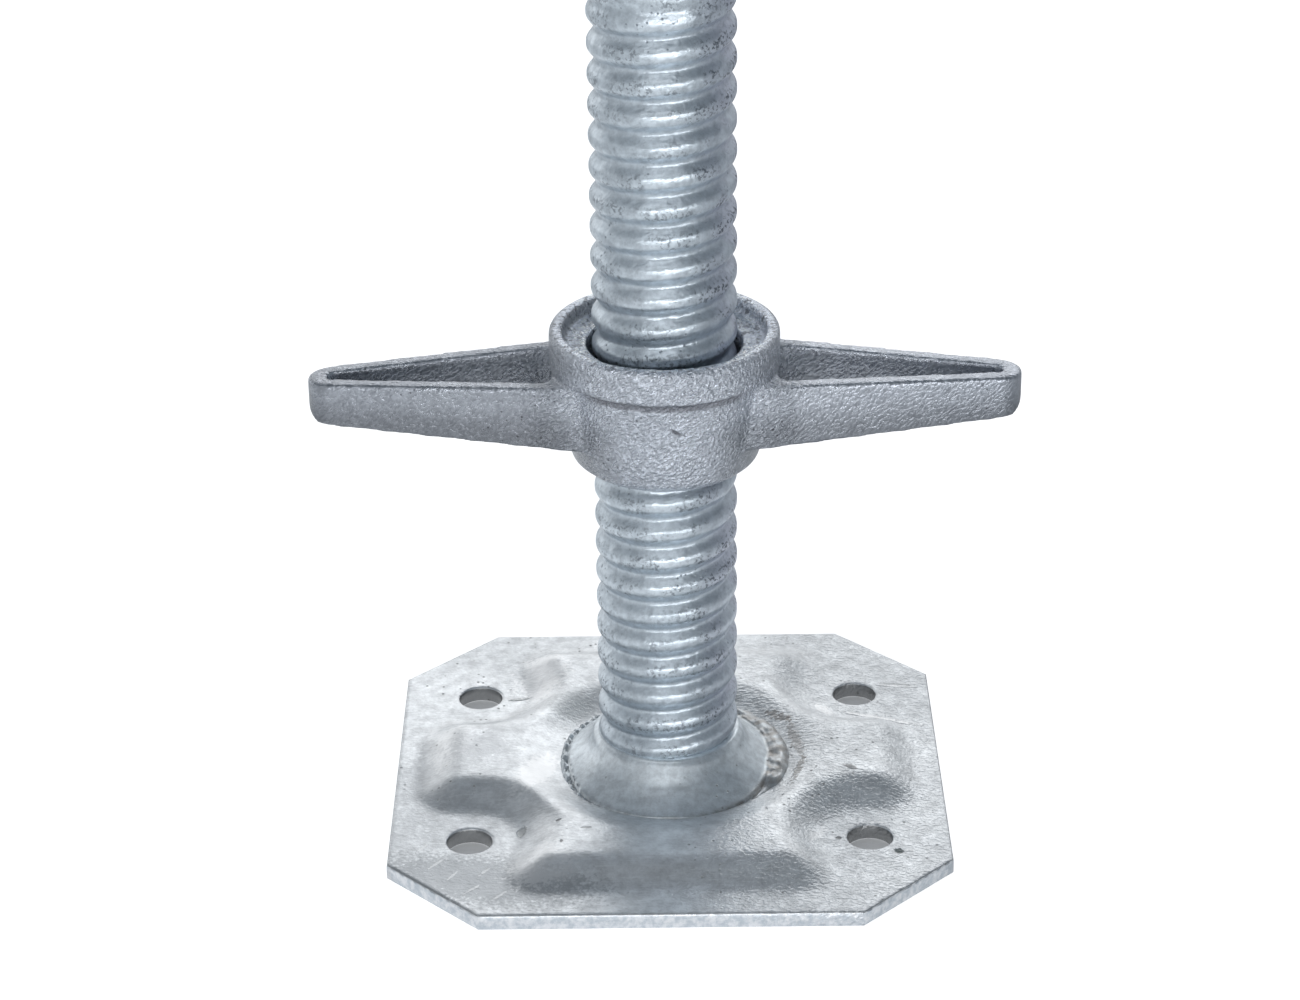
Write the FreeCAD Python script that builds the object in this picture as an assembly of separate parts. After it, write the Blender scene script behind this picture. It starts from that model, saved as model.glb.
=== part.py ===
"""Scaffold base jack: a pressed steel foot plate, a rope-threaded tube welded to it,
and a cast collar nut with two open handles.

Frame: +Z up, origin at the middle of the plate's underside, handles along X. Millimetres.
"""
import FreeCAD, Part
import math
import os

Vector = FreeCAD.Vector

# ---- foot plate: one pressed sheet -------------------------------------------------
plate_width = 150.0           # along X
plate_depth = 150.0           # along Y
corner_clip = 25.0            # leg of the 45 degree cut at each corner
sheet = 4.5                   # sheet thickness
rise = 5.5                    # how far the middle is pressed up
rim_x = 7.0                   # flat rim outside the pressing, left and right
rim_y = 11.0                  # flat rim outside the pressing, front and back
slope_run = 8.5               # plan width of the pressed slope
hole_radius = 6.0             # nail or bolt holes
hole_spacing_x = 107.0
hole_spacing_y = 77.0
bay_clearance = 8.5           # flat ring left round each hole
lobe_corner = 12.0            # corner radius of a lobe at the foot of the slope
lobe_flare = 14.0             # degrees by which the front and back lobes widen outwards
dish_radius = 38.0            # shallow dish round the tube
dish_floor_radius = 33.5      # the weld bead fills it
dish_depth = 2.5
drain_radius = 10.0           # galvanizing drain under the tube

# ---- threaded tube -----------------------------------------------------------------
crest_radius = 19.0
thread_depth = 1.8
thread_pitch = 8.25           # right-hand, single start
crest_land = 3.7              # width of the flat top of a crest
helix_count = 12              # points through which one turn of a helix is drawn
thread_phase = 0.5            # height of a groove's bottom at +X, in the first turn over z = 0
tube_top = 400.0
thread_top = 240.0            # height at which the groove has run out
shank_radius = 18.8           # the blank tube above the rolled thread
tube_bore_radius = 14.0
tube_chamfer = 1.0

# ---- weld at the foot of the tube ----------------------------------------------------
weld_seat = 0.05              # radial clearance between weld and crest
weld_collar_height = 10.0     # the smooth flare, above the dish floor
weld_collar_wall = 1.2        # its thickness at the top
weld_flare_radius = 26.5
weld_flare_foot = 1.6         # height of the flare's foot
weld_flare_curve = ((0.45, 0.66), (1.0, 1.0))                # share of its run, share of its drop
weld_bead_height = 2.9

# ---- cast collar nut -------------------------------------------------------------------
nut_bottom = 99.5             # height of the nut as delivered
nut_height = 37.5
thread_clearance = 0.3        # between the nut's thread and the tube's
mouth_radius = 20.4           # plain mouths of the bore, wider than the thread
mouth_depth = 7.0
foot_radius = 21.8            # underside of the casting
belly_radius = 26.3
belly_height = 8.0            # height at which the rounded underside ends
neck_radius = 28.6            # body just under the cup
cup_radius = 30.2             # outside of the cup
cup_height = 9.5              # outside height of the cup's ring
cup_lip = 3.4                 # width of the cup's rim
cup_depth = 4.0
cup_draft = 0.5               # by how much the cup narrows towards its floor
cup_edge = 0.8                # broken outer edge of the rim
belly_curve = ((0.65, 0.3), (1.0, 1.0))                      # share of its run, share of its height
# handles
handle_reach = 93.5           # from the axis to a handle's tip
handle_root_half = 16.0       # half width over a handle's walls at the cup
handle_tip_half = 6.5         # the same near the tip
handle_wall = 4.4
tip_wall = 5.0
window_root = 29.5            # where a handle's window starts, from the axis
window_corner = 3.0           # corner radius of the window at its root
handle_top_root = 27.0        # heights over the nut's underside
handle_top_tip = 24.2
handle_bottom_root = 9.6
handle_bottom_tip = 13.1
tip_lower_corner = 4.0
root_blend = 9.0              # blend between handle walls and body

# ---- sizes that follow ---------------------------------------------------------------
plate_top = sheet + rise
dish_floor = plate_top - dish_depth
hole_x = hole_spacing_x / 2
hole_y = hole_spacing_y / 2
flank = (thread_pitch - crest_land) / 2
flank_angle = math.atan2(thread_depth, flank)
nut_top = nut_bottom + nut_height


def save(name, shape):
    """Write one piece to its own file."""
    shape.exportStep("parts/" + name + ".step")


def polar(radius, degrees, centre=(0.0, 0.0)):
    """A plan point at a distance and direction from a centre."""
    a = math.radians(degrees)
    return centre[0] + radius * math.cos(a), centre[1] + radius * math.sin(a)


def rounding(before, corner, after, radius):
    """Start, middle and end of the arc that rounds a corner of an outline."""
    p = Vector(*corner, 0)
    u = (Vector(*before, 0) - p).normalize()
    v = (Vector(*after, 0) - p).normalize()
    half = u.getAngle(v) / 2
    middle = (u + v).normalize()
    reach = radius / math.tan(half)
    a = p + u * reach
    b = p + v * reach
    m = p + middle * (radius / math.sin(half) - radius)
    return (a.x, a.y), (m.x, m.y), (b.x, b.y)


def outline(steps, z):
    """A closed wire at a height. A step is a point (line to it) or a pair (arc through, to)."""
    edges = []
    here = Vector(*steps[0], z)
    start = here
    for step in steps[1:]:
        if isinstance(step[0], tuple):
            through = Vector(*step[0], z)
            there = Vector(*step[1], z)
            edges.append(Part.Arc(here, through, there).toShape())
        else:
            there = Vector(*step, z)
            edges.append(Part.makeLine(here, there))
        here = there
    if here.distanceToPoint(start) > 1e-7:
        edges.append(Part.makeLine(here, start))
    return Part.Wire(edges)


def turned(profile, floor):
    """A solid of revolution from (radius, height over floor) points."""
    points = [Vector(r, 0, floor + h) for r, h in profile + profile[:1]]
    return Part.Face(Part.makePolygon(points)).revolve(Vector(0, 0, 0), Vector(0, 0, 1), 360)


# ---- foot plate ------------------------------------------------------------------------

def mirrored(steps, x_sign, y_sign):
    """The steps of a quadrant's outline, flipped to another quadrant."""
    def flip(point):
        return point[0] * x_sign, point[1] * y_sign
    return [tuple(flip(p) for p in s) if isinstance(s[0], tuple) else flip(s) for s in steps]


def reverse(steps):
    """The same steps walked from the other end."""
    points = [s[1] if isinstance(s[0], tuple) else s for s in steps]
    back = [points[-1]]
    for i in range(len(steps) - 1, 0, -1):
        step = steps[i]
        back.append((step[0], points[i - 1]) if isinstance(step[0], tuple) else points[i - 1])
    return back


def lobe_quadrant(inset):
    """Quarter of the pressed cross, from the +X side's middle to the +Y side's middle."""
    end_x = plate_width / 2 - rim_x - inset
    end_y = plate_depth / 2 - rim_y - inset
    bay = hole_radius + bay_clearance + inset
    corner = lobe_corner - inset
    side = hole_y - bay
    turn = corner * (1 - math.sqrt(0.5))
    middle = polar(bay, 225 - lobe_flare / 2, (hole_x, hole_y))
    leave = polar(bay, 180 - lobe_flare, (hole_x, hole_y))
    end = (leave[0] + (end_y - leave[1]) * math.tan(math.radians(lobe_flare)), end_y)
    a, m, b = rounding(leave, end, (0.0, end_y), corner)
    return [(end_x, 0.0), (end_x, side - corner), ((end_x - turn, side - turn), (end_x - corner, side)),
            (hole_x, side), (middle, leave), a, (m, b), (0.0, end_y)]


def lobe_wire(inset, z):
    """The pressed cross's outline at one level."""
    q1 = lobe_quadrant(inset)
    q2 = reverse(mirrored(q1, -1, 1))
    q3 = mirrored(q1, -1, -1)
    q4 = reverse(mirrored(q1, 1, -1))
    return outline(q1 + q2[1:] + q3[1:] + q4[1:], z)


def pressing(inset, floor):
    """The pressed cross as a solid, from floor up by the rise, with sloped sides."""
    foot = lobe_wire(inset, floor)
    top = lobe_wire(inset + slope_run, floor + rise)
    return Part.makeLoft([foot, top], True, True)


def dish(top):
    """The shallow dish round the tube, down from a level."""
    return Part.makeCone(dish_floor_radius, dish_radius, dish_depth, Vector(0, 0, top - dish_depth))


def base_plate():
    """Pressed sheet: the underside follows the top at the sheet's thickness."""
    x, y, c = plate_width / 2, plate_depth / 2, corner_clip
    corners = [(x, c - y), (x, y - c), (x - c, y), (c - x, y),
               (-x, y - c), (-x, c - y), (c - x, -y), (x - c, -y)]
    slab = Part.Face(outline(corners, 0.0)).extrude(Vector(0, 0, sheet))
    parallel = sheet * math.tan(math.atan2(rise, slope_run) / 2)
    hollow = pressing(parallel, 0.0).cut(dish(rise))
    plate = slab.fuse(pressing(0.0, sheet)).cut(dish(plate_top)).cut(hollow)
    for sx in (-1, 1):
        for sy in (-1, 1):
            at = Vector(sx * hole_x, sy * hole_y, 0)
            plate = plate.cut(Part.makeCylinder(hole_radius, sheet, at))
    plate = plate.cut(Part.makeCylinder(drain_radius, plate_top))
    return plate.removeSplitter()


# ---- rope thread -----------------------------------------------------------------------

def helix(start, end, z):
    """One right-hand turn whose radius goes evenly from start to end."""
    slope = thread_pitch / (2 * math.pi)
    swell = (end - start) / (2 * math.pi)
    angles = [2 * math.pi * i / helix_count for i in range(helix_count + 1)]
    places = []
    for a in angles:
        r = start + swell * a
        places.append(Vector(r * math.cos(a), r * math.sin(a), z + slope * a))
    curve = Part.BSplineCurve()
    curve.interpolate(Points=places, Parameters=angles, Scale=False,
                      InitialTangent=Vector(swell, start, slope),
                      FinalTangent=Vector(swell, end, slope))
    return curve.toShape()


def thread_profile(depth, offset):
    """Heights over the middle of a groove, and radii, of the thread's corners.

    The offset moves the whole profile outwards, square to its faces.
    """
    shift = offset * math.tan(flank_angle / 2)
    crest = crest_radius + offset
    return [(0.0, crest_radius - depth + offset / math.cos(flank_angle) * (depth > 0)
             + offset * (depth == 0)),
            (flank - shift, crest),
            (flank + crest_land + shift, crest)]


def threaded_core(z_from, z_to, offset=0.0, fade_from=None):
    """A solid core with the rope thread on it, cut square at both ends.

    From the height fade_from up, the groove runs out over one turn.
    """
    first = math.floor((z_from - thread_phase) / thread_pitch) - 2
    last = math.ceil((z_to - thread_phase) / thread_pitch) + 1
    deep = thread_profile(thread_depth, offset)
    plain = thread_profile(0.0, offset)
    faces = []

    def rows(k):
        """Start and end radii of the corners' helices in turn k."""
        z = thread_phase + thread_pitch * k
        if fade_from is None or z < fade_from:
            return deep, deep
        if z < fade_from + thread_pitch:
            return deep, plain
        return plain, plain

    def edges(k):
        z = thread_phase + thread_pitch * k
        a, b = rows(k)
        return [helix(a[i][1], b[i][1], z + a[i][0]) for i in range(len(a))]

    def cap(k):
        z = thread_phase + thread_pitch * k
        a, _ = rows(k)
        start = Vector(0, 0, z)
        end = Vector(0, 0, z + thread_pitch)
        side = [Vector(r, 0, z + s) for s, r in a] + [Vector(a[0][1], 0, end.z)]
        faces.append(Part.makeRuledSurface(edges(k)[0], Part.makeLine(start, end)))
        faces.append(Part.Face(Part.makePolygon([start] + side + [end, start])))

    for k in range(first, last):
        here = edges(k)
        here.append(edges(k + 1)[0])
        for low, high in zip(here, here[1:]):
            faces.append(Part.makeRuledSurface(low, high))
    cap(first)
    cap(last)
    skin = Part.Compound(faces)
    skin.sewShape()
    core = Part.Solid(skin.Shells[0])
    if core.Volume < 0:
        core.reverse()
    reach = 3 * crest_radius
    room = Part.makeBox(2 * reach, 2 * reach, z_to - z_from, Vector(-reach, -reach, z_from))
    return core.common(room).Solids[0]


def threaded_spindle():
    """Tube with a rolled rope thread; the blank goes on above the thread."""
    fade_from = thread_top - 2 * thread_pitch
    core = threaded_core(dish_floor, thread_top, 0.0, fade_from)
    shank = Part.makeCylinder(shank_radius, tube_top - thread_top, Vector(0, 0, thread_top))
    rim = [e for e in shank.Edges if abs(e.BoundBox.ZMin - tube_top) < 1e-6 and e.Closed]
    shank = shank.makeChamfer(tube_chamfer, rim)
    bore = Part.makeCylinder(tube_bore_radius, tube_top, Vector(0, 0, 0))
    return core.fuse(shank).cut(bore)


# ---- weld ------------------------------------------------------------------------------

def foot_weld():
    """Flared weld collar with its bead, run round the foot of the tube."""
    inner = crest_radius + weld_seat
    rim = inner + weld_collar_wall
    run = weld_flare_radius - rim
    drop = weld_collar_height - weld_flare_foot
    crown = (weld_flare_radius + dish_floor_radius) / 2
    steps = [(inner, 0.0), (inner, weld_collar_height), (rim, weld_collar_height)]
    steps += [(rim + run * r, weld_collar_height - drop * d) for r, d in weld_flare_curve]
    steps += [(crown, weld_bead_height), (dish_floor_radius, 0.0)]
    return turned(steps, dish_floor)


# ---- nut ---------------------------------------------------------------------------------

def nut_body():
    """Body under the cup: rounded underside, then a slight taper up to the neck."""
    run = belly_radius - foot_radius
    neck = nut_height - cup_height
    steps = [(0.0, 0.0), (foot_radius, 0.0)]
    steps += [(foot_radius + run * r, belly_height * h) for r, h in belly_curve]
    return turned(steps + [(neck_radius, neck), (0.0, neck)], nut_bottom)


def nut_cup():
    """Ring of the cup, with a broken outer edge, and its floor."""
    low = nut_height - cup_height
    inner = cup_radius - cup_lip
    floor = nut_height - cup_depth
    return turned([(0.0, low), (cup_radius, low), (cup_radius, nut_height - cup_edge),
                   (cup_radius - cup_edge, nut_height), (inner, nut_height),
                   (inner - cup_draft, floor), (0.0, floor)], nut_bottom)


def handle_lean():
    """Slope of a handle's outer walls in plan."""
    return (handle_root_half - handle_tip_half) / (handle_reach - handle_tip_half - neck_radius)


def tip_arc(end_radius, tip):
    """Where the upper wall touches a handle's rounded end, and the arc round that end."""
    angle = math.atan(handle_lean())
    touch = (tip - end_radius + end_radius * math.sin(angle), end_radius * math.cos(angle))
    return touch, ((tip, 0.0), (touch[0], -touch[1]))


def handle_plan():
    """Plan of a handle along +X, with the blends that carry its walls into the body."""
    touch, end = tip_arc(handle_tip_half, handle_reach)
    angle = math.atan(handle_lean())
    normal = Vector(math.sin(angle), math.cos(angle), 0)
    along = Vector(math.cos(angle), -math.sin(angle), 0)
    off = normal.dot(Vector(*touch, 0)) + root_blend
    reach = belly_radius + root_blend
    centre = normal * off + along * math.sqrt(reach ** 2 - off ** 2)
    on_body = centre * (belly_radius / reach)
    on_wall = centre - normal * root_blend
    inward = ((on_body + on_wall) / 2 - centre).normalize()
    middle = centre + inward * root_blend
    upper = [(on_body.x, on_body.y), ((middle.x, middle.y), (on_wall.x, on_wall.y)), touch]
    return upper + [end] + reverse(mirrored(upper, 1, -1))[1:]


def window_plan():
    """Plan of a handle's window."""
    touch, end = tip_arc(handle_tip_half - handle_wall, handle_reach - tip_wall)
    y_root = touch[1] + (touch[0] - window_root) * handle_lean()
    a, m, b = rounding((window_root, 0.0), (window_root, y_root), touch, window_corner)
    upper = [(window_root, 0.0), a, (m, b), touch]
    return upper + [end] + reverse(mirrored(upper, 1, -1))[1:]


def handle_side():
    """Side view of a handle as a solid right across it: tapered, its lower tip rounded."""
    run = handle_reach - window_root
    top_slope = (handle_top_tip - handle_top_root) / run
    low_slope = (handle_bottom_tip - handle_bottom_root) / run
    top = (0.0, handle_top_root - top_slope * window_root)
    low = (0.0, handle_bottom_root - low_slope * window_root)
    a, m, b = rounding(low, (handle_reach, handle_bottom_tip),
                       (handle_reach, handle_top_tip), tip_lower_corner)

    def at(point):
        return Vector(point[0], -handle_root_half * 2, nut_bottom + point[1])

    edges = [Part.makeLine(at(low), at(a)), Part.Arc(at(a), at(m), at(b)).toShape(),
             Part.makeLine(at(b), at((handle_reach, handle_top_tip))),
             Part.makeLine(at((handle_reach, handle_top_tip)), at(top)),
             Part.makeLine(at(top), at(low))]
    return Part.Face(Part.Wire(edges)).extrude(Vector(0, handle_root_half * 4, 0))


def handle():
    """One handle along +X before its window is cut, and the window's cutter."""
    up = Vector(0, 0, nut_height)
    loop = Part.Face(outline(handle_plan(), nut_bottom)).extrude(up).common(handle_side())
    window = Part.Face(outline(window_plan(), nut_bottom)).extrude(up)
    return loop, window


def wing_nut():
    """The casting: body, cup, two open handles and the thread cut to fit the tube."""
    nut = nut_body()
    loop, window = handle()
    for side in (0, 180):
        loop.rotate(Vector(0, 0, 0), Vector(0, 0, 1), side)
        window.rotate(Vector(0, 0, 0), Vector(0, 0, 1), side)
        nut = nut.fuse(loop).cut(window)
    nut = nut.fuse(nut_cup())
    over = 2.0
    nut = nut.cut(threaded_core(nut_bottom - over, nut_top + over, thread_clearance))
    low = Part.makeCylinder(mouth_radius, mouth_depth, Vector(0, 0, nut_bottom))
    high = low.translated(Vector(0, 0, nut_height - cup_depth - mouth_depth))
    return nut.cut(low).cut(high).removeSplitter()


def main():
    """Build each piece into its own file."""
    os.makedirs("parts", exist_ok=True)
    save("base_plate", base_plate())
    save("foot_weld", foot_weld())
    save("threaded_spindle", threaded_spindle())
    save("wing_nut", wing_nut())


if __name__ == "__main__":
    main()
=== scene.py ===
"""Scaffold base jack: finishes, detailed forms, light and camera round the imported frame."""
import logging
import math
from dataclasses import dataclass, field
from enum import Enum
from typing import Callable, Sequence

import bmesh
import bpy
from mathutils import Matrix, Vector, noise
from mathutils.geometry import delaunay_2d_cdt


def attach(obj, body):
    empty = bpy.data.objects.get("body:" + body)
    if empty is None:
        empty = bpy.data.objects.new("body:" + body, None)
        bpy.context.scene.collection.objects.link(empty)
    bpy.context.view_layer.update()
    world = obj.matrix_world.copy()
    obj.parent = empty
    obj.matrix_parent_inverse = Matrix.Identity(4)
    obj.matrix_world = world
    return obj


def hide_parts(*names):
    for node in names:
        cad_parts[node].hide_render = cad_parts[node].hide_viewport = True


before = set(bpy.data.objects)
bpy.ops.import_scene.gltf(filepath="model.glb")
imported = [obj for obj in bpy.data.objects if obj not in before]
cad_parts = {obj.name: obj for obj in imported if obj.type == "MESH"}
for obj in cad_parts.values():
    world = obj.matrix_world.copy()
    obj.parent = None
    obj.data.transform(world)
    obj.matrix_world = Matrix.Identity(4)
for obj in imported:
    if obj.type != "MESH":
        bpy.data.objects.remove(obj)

log = logging.getLogger("base_jack")

MM = 0.001
Colour = tuple[float, float, float]
Socket = bpy.types.NodeSocket
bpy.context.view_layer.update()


# ---------------------------------------------------------------- small helpers

def clamp(value: float, low: float = 0.0, high: float = 1.0) -> float:
    """Value held between low and high."""
    return max(low, min(high, value))


def ease(value: float) -> float:
    """Smooth step of a share from 0 to 1."""
    t = clamp(value)
    return t * t * (3.0 - 2.0 * t)


def soft(value: float) -> float:
    """A gentler smooth step, with no crease at either end."""
    t = clamp(value)
    return t * t * t * (t * (6.0 * t - 15.0) + 10.0)


def ripple(x: float, y: float, layer: float, scale: float) -> float:
    """Smooth noise, about -1 to 1, at a plan point in one layer."""
    return noise.noise(Vector((x, y, layer)) * scale)


def new_object(name: str, data: bpy.types.ID) -> bpy.types.Object:
    """Link a mesh, lamp or camera into the scene as an object at the origin.

    Args:
        name: the object's name.
        data: its mesh, lamp or camera.

    Returns:
        The new object.
    """
    made = bpy.data.objects.new(name, data)
    bpy.context.scene.collection.objects.link(made)
    return made


def mesh_from(name: str, points: Sequence[Sequence[float]],
              faces: Sequence[Sequence[int]]) -> bpy.types.Mesh:
    """A smooth-shaded mesh from points in metres and faces.

    Args:
        name: the mesh's name.
        points: its vertices.
        faces: vertex indices of each face.

    Returns:
        The mesh.
    """
    mesh = bpy.data.meshes.new(name)
    mesh.from_pydata([tuple(p) for p in points], [], [tuple(f) for f in faces])
    mesh.validate()
    mesh.shade_smooth()
    return mesh


def store(mesh: bpy.types.Mesh, name: str, values: Sequence[float]) -> None:
    """Keep one number for each vertex, in their order, as a named attribute."""
    layer = mesh.attributes.new(name, "FLOAT", "POINT")
    layer.data.foreach_set("value", values)


def point_outwards(mesh: bpy.types.Mesh) -> None:
    """Point a closed mesh's faces outwards.

    Args:
        mesh: the mesh to set right.
    """
    work = bmesh.new()
    work.from_mesh(mesh)
    bmesh.ops.recalc_face_normals(work, faces=work.faces)
    work.to_mesh(mesh)
    work.free()


def redress(mesh: bpy.types.Mesh, material: bpy.types.Material) -> None:
    """Give a whole mesh one material.

    Args:
        mesh: the mesh.
        material: its only material.
    """
    mesh.materials.clear()
    mesh.materials.append(material)
    mesh.polygons.foreach_set("material_index", [0] * len(mesh.polygons))


def apply_modifiers(piece: bpy.types.Object) -> None:
    """Turn a piece's evaluated form into its plain mesh and drop its modifiers.

    Args:
        piece: the object to settle.
    """
    graph = bpy.context.evaluated_depsgraph_get()
    settled = bpy.data.meshes.new_from_object(piece.evaluated_get(graph), depsgraph=graph)
    piece.modifiers.clear()
    old = piece.data
    piece.data = settled
    bpy.data.meshes.remove(old)


# ---------------------------------------------------------------- node building

class Tree:
    """Short calls for building a node tree."""

    def __init__(self, tree: bpy.types.NodeTree) -> None:
        """Keep the tree that nodes are added to."""
        self.tree = tree

    def add(self, kind: str, inputs: dict | None = None, **settings: object) -> bpy.types.Node:
        """Add a node, set its properties and its inputs.

        Args:
            kind: the node's type name.
            inputs: input name or index to a value or an output socket.
            **settings: the node's own properties.

        Returns:
            The node.
        """
        node = self.tree.nodes.new(kind)
        for key, value in settings.items():
            setattr(node, key, value)
        for key, value in (inputs or {}).items():
            self.put(node.inputs[key], value)
        return node

    def put(self, socket: Socket, value: object) -> None:
        """Link an output to an input, or set the input's value.

        Args:
            socket: the input.
            value: an output socket, or the value to set.
        """
        if isinstance(value, Socket):
            self.tree.links.new(value, socket)
        else:
            socket.default_value = value

    def math(self, operation: str, *values: object, clamped: bool = False) -> Socket:
        """A Math node's result.

        Args:
            operation: the Math node's operation.
            *values: numbers or sockets, in order.
            clamped: whether the result is held between 0 and 1.

        Returns:
            The output socket.
        """
        node = self.add("ShaderNodeMath", operation=operation, use_clamp=clamped)
        for socket, value in zip(node.inputs, values):
            self.put(socket, value)
        return node.outputs[0]

    def times(self, first: object, *others: object) -> Socket:
        """The product of numbers or sockets.

        Args:
            first: the first factor, or a socket.
            *others: the other factors.

        Returns:
            The output socket.
        """
        for other in others:
            first = self.math("MULTIPLY", first, other)
        return first

    def remap(self, value: object, low: object, high: object, to_low: float = 0.0,
              to_high: float = 1.0, smooth: bool = True) -> Socket:
        """A Map Range node's result.

        Args:
            value: the number or socket to map.
            low: where the result is to_low.
            high: where it is to_high.
            to_low: the first result.
            to_high: the second result.
            smooth: ease between them instead of going straight.

        Returns:
            The output socket.
        """
        node = self.add("ShaderNodeMapRange", {0: value, 1: low, 2: high, 3: to_low, 4: to_high},
                        interpolation_type="SMOOTHSTEP" if smooth else "LINEAR")
        return node.outputs[0]

    def fall(self, value: object, low: object, high: object) -> Socket:
        """An eased fall from 1 at low to 0 at high."""
        return self.remap(value, low, high, 1.0, 0.0)

    def band(self, value: object, middle: float, inner: float, outer: float) -> Socket:
        """A band round a value: 1 within inner of its middle, 0 beyond outer."""
        off = self.math("ABSOLUTE", self.math("SUBTRACT", value, middle))
        return self.fall(off, inner, outer)

    def mix(self, share: object, first: object, second: object) -> Socket:
        """A colour mix's result.

        Args:
            share: the second colour's share.
            first: the first colour or socket.
            second: the second colour or socket.

        Returns:
            The output socket.
        """
        node = self.add("ShaderNodeMix", data_type="RGBA", blend_type="MIX")
        self.put(node.inputs[0], share)
        for socket, value in ((node.inputs[6], first), (node.inputs[7], second)):
            self.put(socket, (*value, 1.0) if isinstance(value, tuple) else value)
        return node.outputs[2]

    def noise(self, where: Socket, scale: object, detail: float = 2.0, roughness: float = 0.5,
              distortion: float = 0.0) -> Socket:
        """A Noise Texture's value.

        Args:
            where: the places.
            scale: its scale, a number or a socket.
            detail: its number of octaves.
            roughness: how much the finer octaves count.
            distortion: how much it is bent.

        Returns:
            The output socket.
        """
        node = self.add("ShaderNodeTexNoise", {"Vector": where, "Scale": scale, "Detail": detail,
                                               "Roughness": roughness, "Distortion": distortion})
        return node.outputs[0]

    def scaled(self, vector: Socket, factor: object) -> Socket:
        """A vector or colour times a factor."""
        node = self.add("ShaderNodeVectorMath", {0: vector, "Scale": factor}, operation="SCALE")
        return node.outputs[0]

    def split(self, vector: Socket) -> bpy.types.bpy_prop_collection:
        """A vector's x, y and z."""
        return self.add("ShaderNodeSeparateXYZ", {0: vector}).outputs

    def attribute(self, name: str) -> Socket:
        """A named number stored on the mesh."""
        return self.add("ShaderNodeAttribute", attribute_name=name).outputs["Fac"]


Dressing = Callable[[Tree, Socket, Socket], Socket]


class Effect(Enum):
    """Shader node groups that several finishes share."""

    MOTTLE = "zinc_mottle"
    PITS = "dark_pits"
    SCRATCHES = "scratches"
    PEBBLE = "cast_pebble"


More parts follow.
